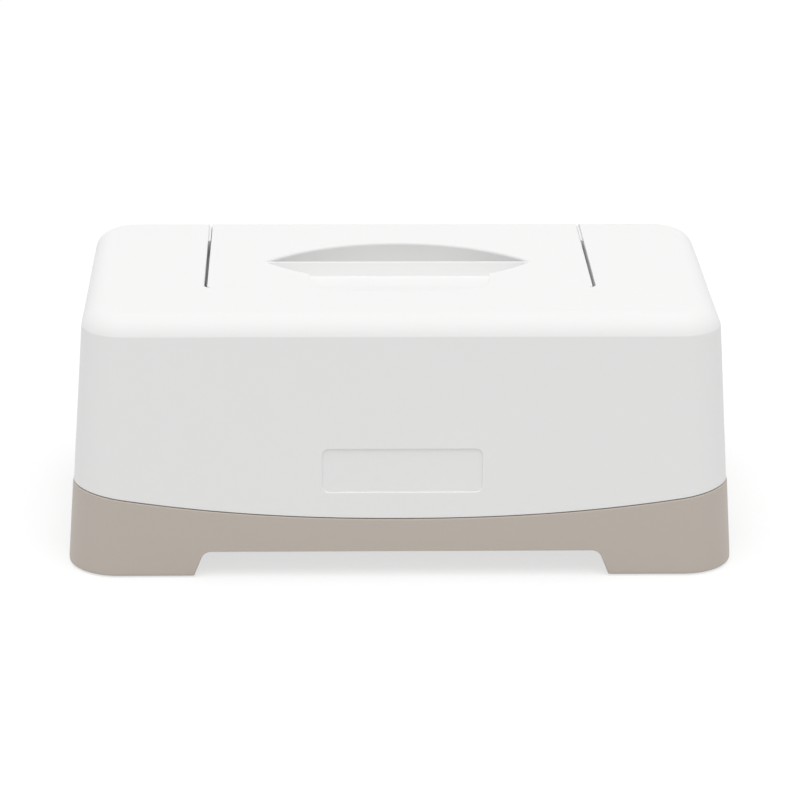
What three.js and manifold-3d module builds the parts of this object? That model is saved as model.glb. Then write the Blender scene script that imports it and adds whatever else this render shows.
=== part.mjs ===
// Baby wipes box: a tapered cover shell with a flip-up lid stands on a base tray with four feet.
// Millimetres, +Z up, +X along the box, -Y towards the front. The origin is under the middle of the
// box, on the surface that the foot pads stand on.
import * as THREE from 'three';
import { mergeVertices } from 'three/addons/utils/BufferGeometryUtils.js';
import Module from 'manifold-3d';

// The whole box
const boxLength = 251;
const boxDepth = 140;
const boxHeight = 99.5;
const sideDraftDegrees = 3.95;
const baseCornerRadius = 19.5;
const topCornerRadius = 16.5;
const topEdgeRadius = 7.9;
const bottomEdgeRadius = 2;
const fitGap = 0.3;
const cutOverrun = 5;

// The seam between cover and base, highest near the corners
const seamCornerHeight = 33.3;
const seamFrontDip = 10.7;
const seamEndDip = 3;
const seamCurvePower = 2.2;
const seamStep = 0.3;
const seamChamfer = 0.4;

// Base tray
const baseWall = 3;
const trayFloorUnderside = 10;
const trayFloorThickness = 2.5;
const trayFilletRadius = 3;
const tongueThickness = 1.2;
const tongueHeight = 4;
const floorRibHeight = 1.2;
const floorRibWidth = 1.6;
const floorRibEndClearance = 25;
const floorRibPitch = 22;
const floorRibCount = 5;

// Feet and their pads
const footLength = 47;
const footDepth = 28;
const footSlopeDegrees = 22;
const footFilletRadius = 4;
const footWall = 2.4;
const padRadius = 8;
const padThickness = 1.7;
const padProud = 0.5;
const padHolderWall = 1.7;
const padHolderRibWidth = 1.6;
const padHolderRibLift = 2.5;

// Cover shell
const coverWall = 2.5;
const coverLipThickness = 1.2;
const badgeLength = 60.1;
const badgeHeight = 17.3;
const badgeCentreHeight = 41.4;
const badgeCornerRadius = 2.7;
const badgeDepth = 0.6;

// Well of the cover, in which the lid lies
const slotSpacing = 147;
const slotWidth = 1.2;
const lidFrontPlace = -25.3;
const lidFrontGap = 0.35;
const wellCornerRadius = 3.2;
const wellDepth = 7.5;
const wellWall = 2.2;
const ledgeWidth = 7.5;
const ledgeThickness = 2.2;
const rearEdgeDrop = 3;

// Hinge
const barrelGap = 0.35;
const barrelWall = 2.4;
const barrelWrapDegrees = 35;
const cheekThickness = 3.5;
const pinRadius = 1.5;
const pinLength = 10;
const pinInset = 0.5;
const bossRadius = 4.2;
const bossEnd = 2.2;
const earReach = 18;
const earDrop = 1;

// Lid with its pinch grip
const lidWall = 2.8;
const lidCornerRadius = 2;
const lidFlangeThickness = 1.8;
const lidFlangeDrop = 3.2;
const sealRibThickness = 1.5;
const sealRibDrop = 2.2;
const crestPlace = 7;
const crestWidth = 0.8;
const crestHalfLength = 51.1;
const hollowReach = 24.6;
const hollowDepth = 15;
const hollowWall = 2.2;
const hollowFilletRadius = 2.5;
const dishReach = 37;
const dishDepth = 5.1;
const dishFlankDegrees = 62;
const dishFloorWidth = 8.6;
const pocketHalfLength = 34;
const pocketBow = 4.6;
const pocketCornerRadius = 8;

// Lid seal
const sealWidth = 2.5;

// Press plate with its weights
const plateEndClearance = 14;
const plateSideClearance = 13;
const plateCornerRadius = 14;
const plateThickness = 2.2;
const plateRimHeight = 5;
const plateRimWidth = 1.6;
const dispenseLength = 84;
const dispenseWidth = 22;
const dispenseLipHeight = 3;
const dispenseLipWidth = 1.8;
const weightLength = 36;
const weightThickness = 4;
const weightEndInset = 15;
const weightSideInset = 15;
const weightCornerRadius = 2;
const weightCoverThickness = 1.6;
const pocketWall = 1.8;
const gripTabLength = 22;
const gripTabHeight = 9;
const gripTabThickness = 2.2;
const gripTabSpacing = 46;

// Counts of steps on curves
const cornerSteps = 7;
const frontSteps = 16;
const endSteps = 6;
const edgeSteps = 5;
const filletSteps = 3;
const roundSteps = 24;
const barrelSteps = 8;
const arcSteps = 22;
const rampSteps = 5;

// Places that follow from the sizes above
const draft = THREE.MathUtils.degToRad(sideDraftDegrees);
const widestHeight = padProud + bottomEdgeRadius;
const edgeCentreHeight = boxHeight - topEdgeRadius;
const edgeCentreInset = seamStep + topEdgeRadius / Math.cos(draft);
const footGapLength = boxLength - 2 * footLength;
const footGapDepth = boxDepth - 2 * footDepth;
const floorRibLength = boxLength - 2 * floorRibEndClearance;
const hingePlace = envelopeAt(edgeCentreHeight).halfY - edgeCentreInset;
const lidHalfLength = (slotSpacing - slotWidth) / 2;
const wellHalfLength = (slotSpacing + slotWidth) / 2;
const wellFrontPlace = lidFrontPlace - lidFrontGap;
const ledgeTop = boxHeight - wellDepth;
const ledgeUnderside = ledgeTop - ledgeThickness;
const troughRadius = topEdgeRadius + barrelGap;
const troughHalfLength = lidHalfLength + fitGap;
const ledgeRearPlace = hingePlace - troughRadius;
const lidUnderside = boxHeight - lidWall;
const trayFloorTop = trayFloorUnderside + trayFloorThickness;
const plateSeatHeight = trayFloorTop + floorRibHeight + fitGap;
const pinStart = lidHalfLength - cheekThickness - pinInset;
const bossTip = pinStart + pinLength + fitGap + bossEnd;
const flangeRear = ledgeRearPlace - fitGap;
const sealInset = lidFlangeThickness + fitGap;
const sealRibInset = sealInset + sealWidth + fitGap;
const plateLength = boxLength - 2 * plateEndClearance;
const plateDepth = boxDepth - 2 * plateSideClearance;
const weightDepth = plateDepth - 2 * weightSideInset;
const weightSpacing = plateLength - 2 * weightEndInset - weightLength;
const pocketHeight = weightCoverThickness + weightThickness + 2 * fitGap;

const wasm = await Module();
wasm.setup();

function toSolid(geometry) {
  const merged = mergeVertices(stripped(geometry));
  return new wasm.Manifold(new wasm.Mesh({
    numProp: 3,
    vertProperties: new Float32Array(merged.attributes.position.array),
    triVerts: new Uint32Array(merged.index.array),
  }));
}

function stripped(geometry) {
  const bare = geometry.clone();
  bare.deleteAttribute('normal');
  bare.deleteAttribute('uv');
  return bare;
}

function toGeometry(solid) {
  const mesh = solid.getMesh();
  const geometry = new THREE.BufferGeometry();
  const places = new Float32Array((mesh.vertProperties.length / mesh.numProp) * 3);
  for (let vertex = 0; vertex < places.length / 3; vertex++) {
    for (let axis = 0; axis < 3; axis++) {
      places[vertex * 3 + axis] = mesh.vertProperties[vertex * mesh.numProp + axis];
    }
  }
  geometry.setAttribute('position', new THREE.BufferAttribute(places, 3));
  geometry.setIndex(new THREE.BufferAttribute(new Uint32Array(mesh.triVerts), 1));
  geometry.computeVertexNormals();
  return geometry;
}

function joined(...geometries) {
  return geometries.map(toSolid).reduce((sum, next) => sum.add(next));
}

// The outer form of the box at a level: half sizes and plan radius of a rounded rectangle
function envelopeAt(level) {
  const inset = Math.tan(draft) * (level - widestHeight);
  const climb = (level - widestHeight) / (boxHeight - widestHeight);
  return {
    halfX: boxLength / 2 - inset,
    halfY: boxDepth / 2 - inset,
    radius: THREE.MathUtils.lerp(baseCornerRadius, topCornerRadius, climb),
  };
}

// Stations run once round a rounded rectangle, counter-clockwise from above. A station is on a
// corner's arc, or a share of the way along the straight run from one corner to the next.
function makeStations() {
  const corners = [
    { signX: 1, signY: -1, start: -Math.PI / 2 },
    { signX: 1, signY: 1, start: 0 },
    { signX: -1, signY: 1, start: Math.PI / 2 },
    { signX: -1, signY: -1, start: Math.PI },
  ];
  const sideCounts = [endSteps, frontSteps, endSteps, frontSteps];
  const list = [];
  corners.forEach((corner, index) => {
    const next = corners[(index + 1) % corners.length];
    for (let step = 0; step <= cornerSteps; step++) {
      list.push({ corner, angle: corner.start + (Math.PI / 2) * (step / cornerSteps) });
    }
    for (let step = 1; step < sideCounts[index]; step++) {
      list.push({
        from: { corner, angle: corner.start + Math.PI / 2 },
        to: { corner: next, angle: next.start },
        share: step / sideCounts[index],
      });
    }
  });
  return list;
}

const stations = makeStations();

function placeAt(station, halfX, halfY, radius) {
  if (station.from) {
    const start = placeAt(station.from, halfX, halfY, radius);
    return start.lerp(placeAt(station.to, halfX, halfY, radius), station.share);
  }
  return new THREE.Vector2(
    station.corner.signX * (halfX - radius) + radius * Math.cos(station.angle),
    station.corner.signY * (halfY - radius) + radius * Math.sin(station.angle),
  );
}

// Height of the seam at a station: it dips in the middle of each side
function seamHeight(station) {
  const { halfX, halfY, radius } = envelopeAt(widestHeight);
  const place = placeAt(station, halfX, halfY, radius);
  const frontShare = 1 - Math.abs(place.x / halfX) ** seamCurvePower;
  const endShare = 1 - Math.abs(place.y / halfY) ** seamCurvePower;
  return seamCornerHeight - seamFrontDip * frontShare - seamEndDip * endShare;
}

// A ring of points at a level, or at a level for each station, set in from the box's outer form
function ring(inset, level, envelopeLevel = level) {
  return stations.map((station) => {
    const height = typeof level === 'function' ? level(station) : level;
    const formHeight = typeof envelopeLevel === 'function' ? height : envelopeLevel;
    const { halfX, halfY, radius } = envelopeAt(formHeight);
    const place = placeAt(station, halfX - inset, halfY - inset, Math.max(radius - inset, fitGap));
    return new THREE.Vector3(place.x, place.y, height);
  });
}

// A closed body through rings that are stacked upwards
function loft(rings) {
  const count = rings[0].length;
  const points = rings.flat();
  const faces = [];
  for (let level = 0; level + 1 < rings.length; level++) {
    for (let index = 0; index < count; index++) {
      const next = (index + 1) % count;
      const low = level * count;
      const high = low + count;
      faces.push(low + index, low + next, high + next);
      faces.push(low + index, high + next, high + index);
    }
  }
  const top = (rings.length - 1) * count;
  for (const [first, rises] of [[0, false], [top, true]]) {
    const middle = points.length;
    points.push(centreOf(points.slice(first, first + count)));
    for (let index = 0; index < count; index++) {
      const next = (index + 1) % count;
      faces.push(middle, first + (rises ? index : next), first + (rises ? next : index));
    }
  }
  const geometry = new THREE.BufferGeometry().setFromPoints(points);
  geometry.setIndex(faces);
  return geometry;
}

function centreOf(points) {
  const sum = points.reduce((total, point) => total.add(point), new THREE.Vector3());
  return sum.divideScalar(points.length);
}

// Rings over the top edge's rounding, for a skin that lies inside the outer form by a wall
function topEdgeRings(wall) {
  const rings = [];
  const radius = topEdgeRadius - wall;
  for (let step = 0; step <= edgeSteps; step++) {
    const angle = THREE.MathUtils.lerp(draft, Math.PI / 2, step / edgeSteps);
    const inset = edgeCentreInset - radius * Math.cos(angle);
    rings.push(ring(inset, edgeCentreHeight + radius * Math.sin(angle), edgeCentreHeight));
  }
  return rings;
}

function block(fromX, toX, fromY, toY, fromZ, toZ) {
  const geometry = new THREE.BoxGeometry(toX - fromX, toY - fromY, toZ - fromZ);
  return geometry.translate((fromX + toX) / 2, (fromY + toY) / 2, (fromZ + toZ) / 2);
}

// A round bar along X round the hinge's line
function hingeBar(radius, fromX, toX) {
  const geometry = new THREE.CylinderGeometry(radius, radius, toX - fromX, roundSteps);
  geometry.rotateZ(Math.PI / 2);
  return geometry.translate((fromX + toX) / 2, hingePlace, edgeCentreHeight);
}

function upright(shape, fromZ, toZ, curveSegments = filletSteps) {
  const geometry = new THREE.ExtrudeGeometry(shape, {
    depth: toZ - fromZ,
    bevelEnabled: false,
    curveSegments,
  });
  return geometry.translate(0, 0, fromZ);
}

function roundedRectangle(fromX, toX, fromY, toY, radius) {
  const shape = new THREE.Shape();
  shape.moveTo(fromX + radius, fromY);
  shape.lineTo(toX - radius, fromY);
  shape.absarc(toX - radius, fromY + radius, radius, -Math.PI / 2, 0, false);
  shape.lineTo(toX, toY - radius);
  shape.absarc(toX - radius, toY - radius, radius, 0, Math.PI / 2, false);
  shape.lineTo(fromX + radius, toY);
  shape.absarc(fromX + radius, toY - radius, radius, Math.PI / 2, Math.PI, false);
  shape.lineTo(fromX, fromY + radius);
  shape.absarc(fromX + radius, fromY + radius, radius, Math.PI, Math.PI * 1.5, false);
  return shape;
}

function roundedBlock(halfX, fromY, toY, radius, fromZ, toZ) {
  return upright(roundedRectangle(-halfX, halfX, fromY, toY, radius), fromZ, toZ);
}

// A frame of even width, as a ring of the lid's underside
function roundedFrame(halfX, fromY, toY, radius, width, fromZ, toZ) {
  const shape = roundedRectangle(-halfX, halfX, fromY, toY, radius);
  const inner = roundedRectangle(width - halfX, halfX - width, fromY + width, toY - width, radius - width);
  shape.holes.push(inner);
  return upright(shape, fromZ, toZ);
}

// Base tray

// The opening between two feet, seen along the direction that it runs in
function footGapShape(gapLength, grow) {
  const slope = THREE.MathUtils.degToRad(footSlopeDegrees);
  const top = trayFloorUnderside - padProud;
  const reach = gapLength / 2 + grow / Math.cos(slope);
  const edgeAt = (height) => reach - height * Math.tan(slope);
  const turn = footFilletRadius * Math.tan((Math.PI / 2 - slope) / 2);
  const roundCentre = new THREE.Vector2(edgeAt(top) - turn, top - footFilletRadius);
  const shape = new THREE.Shape();
  const roundStart = -slope + Math.PI / 2;
  shape.moveTo(-edgeAt(-cutOverrun), -cutOverrun);
  shape.lineTo(edgeAt(-cutOverrun), -cutOverrun);
  shape.absarc(roundCentre.x, roundCentre.y, footFilletRadius, Math.PI / 2 - roundStart, Math.PI / 2, false);
  shape.absarc(-roundCentre.x, roundCentre.y, footFilletRadius, Math.PI / 2, Math.PI / 2 + roundStart, false);
  shape.closePath();
  return shape;
}

function footGapAcross(gapLength, run, grow, turn) {
  const geometry = new THREE.ExtrudeGeometry(footGapShape(gapLength, grow), {
    depth: run,
    bevelEnabled: false,
    curveSegments: filletSteps,
  });
  geometry.translate(0, padProud, -run / 2);
  geometry.rotateX(Math.PI / 2);
  return geometry.rotateZ(turn);
}

function footGaps(grow) {
  return joined(
    footGapAcross(footGapLength, boxDepth + 2 * cutOverrun, grow, 0),
    footGapAcross(footGapDepth, boxLength + 2 * cutOverrun, grow, Math.PI / 2),
  );
}

const footCentres = [];
for (const [signX, sideName] of [[-1, 'left'], [1, 'right']]) {
  for (const [signY, endName] of [[-1, 'front'], [1, 'rear']]) {
    footCentres.push({
      name: `${endName}_${sideName}`,
      x: signX * (boxLength + footGapLength) / 4,
      y: signY * (boxDepth + footGapDepth) / 4,
    });
  }
}

function baseOuterSkin() {
  const rings = [];
  for (let step = 0; step <= filletSteps; step++) {
    const angle = (-Math.PI / 2) * (1 - step / filletSteps);
    const inset = bottomEdgeRadius * (1 - Math.cos(angle));
    const height = padProud + bottomEdgeRadius * (1 + Math.sin(angle));
    rings.push(ring(inset, height, widestHeight));
  }
  rings.push(ring(0, (station) => seamHeight(station) - seamChamfer));
  rings.push(ring(seamChamfer, seamHeight));
  rings.push(ring(baseWall * 2, seamHeight));
  return loft(rings);
}

function baseTongue() {
  const inset = seamStep + coverLipThickness + fitGap;
  return loft([
    ring(inset, trayFloorTop),
    ring(inset, (station) => seamHeight(station) + tongueHeight),
    ring(baseWall * 2, (station) => seamHeight(station) + tongueHeight),
  ]);
}

function trayHollow() {
  const rings = [];
  for (let step = 0; step <= filletSteps; step++) {
    const angle = (Math.PI / 2) * (step / filletSteps);
    const inset = baseWall + trayFilletRadius * (1 - Math.sin(angle));
    rings.push(ring(inset, trayFloorTop + trayFilletRadius * (1 - Math.cos(angle))));
  }
  rings.push(ring(baseWall, seamCornerHeight + tongueHeight + cutOverrun));
  return loft(rings);
}

function footHollows() {
  const inside = loft([ring(footWall, -cutOverrun), ring(footWall, trayFloorUnderside)]);
  return toSolid(inside).subtract(footGaps(footWall));
}

// A round holder for the pad with ribs to the walls of the foot, kept inside the foot
function padHolder(centre) {
  const outer = padRadius + fitGap + padHolderWall;
  const half = padHolderRibWidth / 2;
  const ribBottom = padProud + padHolderRibLift;
  const post = new THREE.CylinderGeometry(outer, outer, trayFloorTop - padProud, roundSteps);
  post.rotateX(Math.PI / 2);
  post.translate(centre.x, centre.y, (trayFloorTop + padProud) / 2);
  const reach = boxDepth / 4;
  const alongX = block(
    centre.x - reach, centre.x + reach, centre.y - half, centre.y + half, ribBottom, trayFloorTop,
  );
  const alongY = block(
    centre.x - half, centre.x + half, centre.y - reach, centre.y + reach, ribBottom, trayFloorTop,
  );
  return joined(post, alongX, alongY);
}

function padSeat(centre) {
  const radius = padRadius + fitGap;
  const depth = padThickness + fitGap + cutOverrun;
  const geometry = new THREE.CylinderGeometry(radius, radius, depth, roundSteps);
  geometry.rotateX(Math.PI / 2);
  return geometry.translate(centre.x, centre.y, padThickness + fitGap - depth / 2);
}

function floorRibs() {
  const ribs = [];
  for (let index = 0; index < floorRibCount; index++) {
    const middle = (index - (floorRibCount - 1) / 2) * floorRibPitch;
    ribs.push(block(
      -floorRibLength / 2, floorRibLength / 2, middle - floorRibWidth / 2, middle + floorRibWidth / 2,
      trayFloorUnderside + trayFloorThickness / 2, trayFloorTop + floorRibHeight,
    ));
  }
  return joined(...ribs);
}

function makeBaseTray() {
  const skin = toSolid(baseOuterSkin());
  let tray = skin.add(toSolid(baseTongue())).subtract(toSolid(trayHollow()));
  tray = tray.subtract(footHollows());
  for (const centre of footCentres) tray = tray.add(padHolder(centre).intersect(skin));
  tray = tray.subtract(footGaps(0));
  for (const centre of footCentres) tray = tray.subtract(toSolid(padSeat(centre)));
  return toGeometry(tray.add(floorRibs()));
}

function makeFootPad() {
  const chamfer = padProud;
  const profile = [
    new THREE.Vector2(0, 0),
    new THREE.Vector2(padRadius - chamfer, 0),
    new THREE.Vector2(padRadius, chamfer),
    new THREE.Vector2(padRadius, padThickness),
    new THREE.Vector2(0, padThickness),
  ];
  const geometry = new THREE.LatheGeometry(profile, roundSteps);
  geometry.rotateX(Math.PI / 2);
  return toGeometry(toSolid(geometry));
}

// Pinch grip: a lens in plan, cut by the straight crest. The hollow for the fingers is behind it. In
// front of it a slope leads down to a pocket for the thumb, whose floor rises to the front.

// Distance from the crest to the lens's arc at a place along the box
function lensReachAt(x, grow) {
  const radius = (crestHalfLength ** 2 + hollowReach ** 2) / (2 * hollowReach);
  return Math.sqrt((radius + grow) ** 2 - x ** 2) - radius + hollowReach;
}

// The front edge of the thumb pocket: slightly bowed, with rounded corners
function pocketFrontAt(x, grow) {
  const half = pocketHalfLength + grow;
  const radius = pocketCornerRadius + grow;
  const bow = pocketBow * (x / half) ** 2;
  const turn = Math.max(Math.abs(x) - half + radius, 0);
  return crestPlace - dishReach - grow + bow + radius - Math.sqrt(radius ** 2 - turn ** 2);
}

function dishOutline(grow) {
  const crestFront = crestPlace - crestWidth / 2;
  const half = pocketHalfLength + grow;
  const side = [];
  for (let step = 0; step <= rampSteps; step++) {
    const x = THREE.MathUtils.lerp(crestHalfLength, half, step / rampSteps);
    side.push([x, crestFront - lensReachAt(x, grow)]);
  }
  for (let step = 0; step <= arcSteps; step++) {
    const x = half * Math.cos((Math.PI / 2) * (step / arcSteps));
    side.push([x, pocketFrontAt(x, grow)]);
  }
  const far = side.slice(0, -1).reverse().map(([x, y]) => [-x, y]);
  const outline = [...side, ...far].map(([x, y]) => new THREE.Vector2(x, y));
  if (grow > 0) {
    outline.unshift(new THREE.Vector2(crestHalfLength, crestFront));
    outline.push(new THREE.Vector2(-crestHalfLength, crestFront));
  }
  return new THREE.Shape(outline);
}

// The dish as a body above its floor; lowered by a wall, it is the shell that carries the floor
function dishBody(wall) {
  const crestFront = crestPlace - crestWidth / 2;
  const flank = THREE.MathUtils.degToRad(dishFlankDegrees);
  const flankFoot = crestFront - dishDepth / Math.tan(flank) + wall * Math.tan(flank / 2);
  const rim = crestPlace - dishReach;
  const overTop = boxHeight + cutOverrun;
  const profile = new THREE.Shape([
    new THREE.Vector2(crestFront, overTop),
    new THREE.Vector2(crestFront, boxHeight - wall),
    new THREE.Vector2(flankFoot, boxHeight - wall - dishDepth),
    new THREE.Vector2(flankFoot - dishFloorWidth, boxHeight - wall - dishDepth),
    new THREE.Vector2(rim, boxHeight - wall),
    new THREE.Vector2(rim - cutOverrun, boxHeight - wall),
    new THREE.Vector2(rim - cutOverrun, overTop),
  ]);
  const run = new THREE.ExtrudeGeometry(profile, { depth: boxLength, bevelEnabled: false });
  run.translate(0, 0, -boxLength / 2);
  run.rotateY(Math.PI / 2);
  run.rotateX(Math.PI / 2);
  return toSolid(upright(dishOutline(wall), 0, overTop)).intersect(toSolid(run));
}

// The finger hollow in plan: an arc behind the straight crest, grown by a wall or shrunk by a fillet
function hollowRing(grow, height) {
  const arcRadius = (crestHalfLength ** 2 + hollowReach ** 2) / (2 * hollowReach);
  const centre = crestPlace + crestWidth / 2 + hollowReach - arcRadius;
  const radius = arcRadius + grow;
  const reach = Math.acos((arcRadius - hollowReach - grow) / radius);
  const points = [];
  for (let step = 0; step <= arcSteps; step++) {
    const angle = Math.PI / 2 + THREE.MathUtils.lerp(-reach, reach, step / arcSteps);
    points.push(new THREE.Vector3(
      radius * Math.cos(angle), centre + radius * Math.sin(angle), height,
    ));
  }
  return points;
}

// The finger hollow has upright walls and a rounded foot
function fingerHollow() {
  const rings = [];
  for (let step = 0; step <= filletSteps; step++) {
    const angle = (Math.PI / 2) * (step / filletSteps);
    const inset = hollowFilletRadius * (1 - Math.sin(angle));
    const rise = hollowFilletRadius * (1 - Math.cos(angle));
    rings.push(hollowRing(-inset, boxHeight - hollowDepth + rise));
  }
  rings.push(hollowRing(0, boxHeight + cutOverrun));
  return toSolid(loft(rings));
}

// Cover shell

function coverOuterSkin() {
  const edge = (station) => seamHeight(station) + fitGap;
  return loft([ring(coverWall * 2, edge), ring(seamStep, edge), ...topEdgeRings(0)]);
}

function coverHollow() {
  return loft([ring(seamStep + coverWall, trayFloorTop), ...topEdgeRings(coverWall)]);
}

// The lower edge of the wall is halved, so that it goes over the tongue of the tray
function coverRebate() {
  const inset = seamStep + coverLipThickness;
  return loft([
    ring(inset, trayFloorTop),
    ring(inset, (station) => seamHeight(station) + tongueHeight + fitGap),
  ]);
}

// Walls and floor of the well, with the trough that the lid's barrel turns in
function wellBody() {
  const half = wellHalfLength + wellWall;
  const front = wellFrontPlace - wellWall;
  const tray = roundedBlock(
    half, front, hingePlace, wellCornerRadius + wellWall, ledgeUnderside, boxHeight - coverWall / 2,
  );
  return joined(
    tray,
    hingeBar(troughRadius + wellWall, -half, half),
    hingeBar(bossRadius, -bossTip, -half + wellWall / 2),
    hingeBar(bossRadius, half - wellWall / 2, bossTip),
  );
}

function wellOpening() {
  const rear = boxDepth / 2 + cutOverrun;
  const overTop = boxHeight + cutOverrun;
  const lidSpace = roundedBlock(wellHalfLength, wellFrontPlace, rear, wellCornerRadius, ledgeTop, overTop);
  const rearEdge = block(
    -troughHalfLength, troughHalfLength, hingePlace + topEdgeRadius / 2, rear,
    edgeCentreHeight - rearEdgeDrop, overTop,
  );
  return joined(lidSpace, hingeBar(troughRadius, -troughHalfLength, troughHalfLength), rearEdge);
}

// The ears that the pins pass through close the rear of the slots beside the lid
function hingeEar(side) {
  const inner = side * troughHalfLength;
  const outer = side * (wellHalfLength + wellWall / 2);
  const ear = block(
    Math.min(inner, outer), Math.max(inner, outer), hingePlace - earReach, boxDepth / 2,
    ledgeUnderside, boxHeight,
  );
  const room = loft([ring(seamStep + earDrop, ledgeUnderside), ...topEdgeRings(earDrop)]);
  return toSolid(ear).intersect(toSolid(room));
}

function dispenseWindow() {
  return roundedBlock(
    wellHalfLength - ledgeWidth, wellFrontPlace + ledgeWidth, ledgeRearPlace - ledgeWidth,
    wellCornerRadius, ledgeUnderside - cutOverrun, boxHeight,
  );
}

function pinHole(side) {
  const inner = side * (lidHalfLength - cutOverrun);
  const outer = side * (pinStart + pinLength + fitGap);
  return hingeBar(pinRadius + fitGap, Math.min(inner, outer), Math.max(inner, outer));
}

// The recessed plate on the front lies square to the drafted face
function badgeRecess() {
  const shape = roundedRectangle(
    -badgeLength / 2, badgeLength / 2, -badgeHeight / 2, badgeHeight / 2, badgeCornerRadius,
  );
  const geometry = upright(shape, -badgeDepth, cutOverrun);
  geometry.rotateX(Math.PI / 2 - draft);
  const face = seamStep - envelopeAt(badgeCentreHeight).halfY;
  return geometry.translate(0, face, badgeCentreHeight);
}

function makeCoverShell() {
  const outer = toSolid(coverOuterSkin());
  let shell = outer.subtract(toSolid(coverHollow()));
  shell = shell.add(wellBody().intersect(outer));
  shell = shell.subtract(toSolid(coverRebate()));
  shell = shell.subtract(wellOpening()).subtract(toSolid(dispenseWindow()));
  for (const side of [-1, 1]) shell = shell.add(hingeEar(side)).subtract(toSolid(pinHole(side)));
  return toGeometry(shell.subtract(dishBody(0)).subtract(toSolid(badgeRecess())));
}

// Lid

function lidPlate() {
  const shape = new THREE.Shape();
  const half = lidHalfLength;
  const front = lidFrontPlace;
  shape.moveTo(-half, hingePlace);
  shape.lineTo(-half, front + lidCornerRadius);
  const roundX = half - lidCornerRadius;
  const roundY = front + lidCornerRadius;
  shape.absarc(-roundX, roundY, lidCornerRadius, Math.PI, Math.PI * 1.5, false);
  shape.absarc(roundX, roundY, lidCornerRadius, -Math.PI / 2, 0, false);
  shape.lineTo(half, hingePlace);
  shape.closePath();
  return upright(shape, lidUnderside, boxHeight);
}

// The rear of the lid wraps round the hinge's line and continues the cover's rounded edge
function lidBarrel() {
  const wrap = THREE.MathUtils.degToRad(barrelWrapDegrees);
  const shape = new THREE.Shape();
  shape.absarc(0, 0, topEdgeRadius, -wrap, Math.PI / 2, false);
  shape.absarc(0, 0, topEdgeRadius - barrelWall, Math.PI / 2, -wrap, true);
  shape.closePath();
  const geometry = new THREE.ExtrudeGeometry(shape, {
    depth: 2 * lidHalfLength,
    bevelEnabled: false,
    curveSegments: barrelSteps,
  });
  geometry.translate(0, 0, -lidHalfLength);
  geometry.rotateY(Math.PI / 2);
  geometry.rotateX(Math.PI / 2);
  return geometry.translate(0, hingePlace, edgeCentreHeight);
}

function lidCheek(side) {
  const inner = side * (lidHalfLength - cheekThickness);
  const outer = side * lidHalfLength;
  return hingeBar(topEdgeRadius, Math.min(inner, outer), Math.max(inner, outer));
}

function lidFrame(inset, radius, width, drop) {
  return roundedFrame(
    lidHalfLength - inset, lidFrontPlace + inset, flangeRear - inset, radius, width,
    lidUnderside - drop, lidUnderside + lidWall / 2,
  );
}

// The grip's walls hang below the plate, inside the frame of the seal
function gripWalls() {
  const inset = sealRibInset + sealRibThickness / 2;
  const inside = roundedBlock(
    lidHalfLength - inset, lidFrontPlace + inset, flangeRear - inset, lidCornerRadius,
    boxHeight - hollowDepth - hollowWall - cutOverrun, boxHeight - lidWall / 2,
  );
  const hollowShell = loft([
    hollowRing(hollowWall, boxHeight - hollowDepth - hollowWall),
    hollowRing(hollowWall, boxHeight - lidWall / 2),
  ]);
  return dishBody(hollowWall).add(toSolid(hollowShell)).intersect(toSolid(inside));
}

function makeLid() {
  let lid = joined(
    lidPlate(),
    lidBarrel(),
    lidCheek(-1),
    lidCheek(1),
    lidFrame(0, lidCornerRadius + sealInset, lidFlangeThickness, lidFlangeDrop),
    lidFrame(sealRibInset, lidCornerRadius + sealRibThickness, sealRibThickness, sealRibDrop),
  );
  lid = lid.add(gripWalls());
  lid = lid.subtract(dishBody(0)).subtract(fingerHollow());
  for (const side of [-1, 1]) lid = lid.subtract(toSolid(pinHole(side)));
  return aboutHinge(toGeometry(lid));
}

function aboutHinge(geometry) {
  return geometry.translate(0, -hingePlace, -edgeCentreHeight);
}

function makeLidSeal() {
  const seal = roundedFrame(
    lidHalfLength - sealInset, lidFrontPlace + sealInset, flangeRear - sealInset,
    lidCornerRadius + sealWidth, sealWidth, ledgeTop + fitGap, lidUnderside - fitGap,
  );
  return aboutHinge(toGeometry(toSolid(seal)));
}

function makeHingePin() {
  const geometry = new THREE.CylinderGeometry(pinRadius, pinRadius, pinLength, roundSteps);
  return toGeometry(toSolid(geometry.rotateZ(Math.PI / 2)));
}

// Press plate, drawn from its own underside

function plateOutline(grow) {
  const halfX = plateLength / 2 + grow;
  const halfY = plateDepth / 2 + grow;
  return roundedRectangle(-halfX, halfX, -halfY, halfY, plateCornerRadius + grow);
}

function dispenseOutline(grow) {
  const halfX = dispenseLength / 2 + grow;
  const halfY = dispenseWidth / 2 + grow;
  return roundedRectangle(-halfX, halfX, -halfY, halfY, halfY - fitGap);
}

function weightBlock(side, grow, fromZ, toZ) {
  const middle = side * weightSpacing / 2;
  const halfX = weightLength / 2 + grow;
  const halfY = weightDepth / 2 + grow;
  const shape = roundedRectangle(
    middle - halfX, middle + halfX, -halfY, halfY, weightCornerRadius + Math.max(grow, 0),
  );
  return upright(shape, fromZ, toZ);
}

function gripTab(side) {
  const middle = side * gripTabSpacing;
  const half = gripTabThickness / 2;
  return block(
    middle - half, middle + half, -gripTabLength / 2, gripTabLength / 2,
    plateThickness / 2, plateThickness + gripTabHeight,
  );
}

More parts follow.
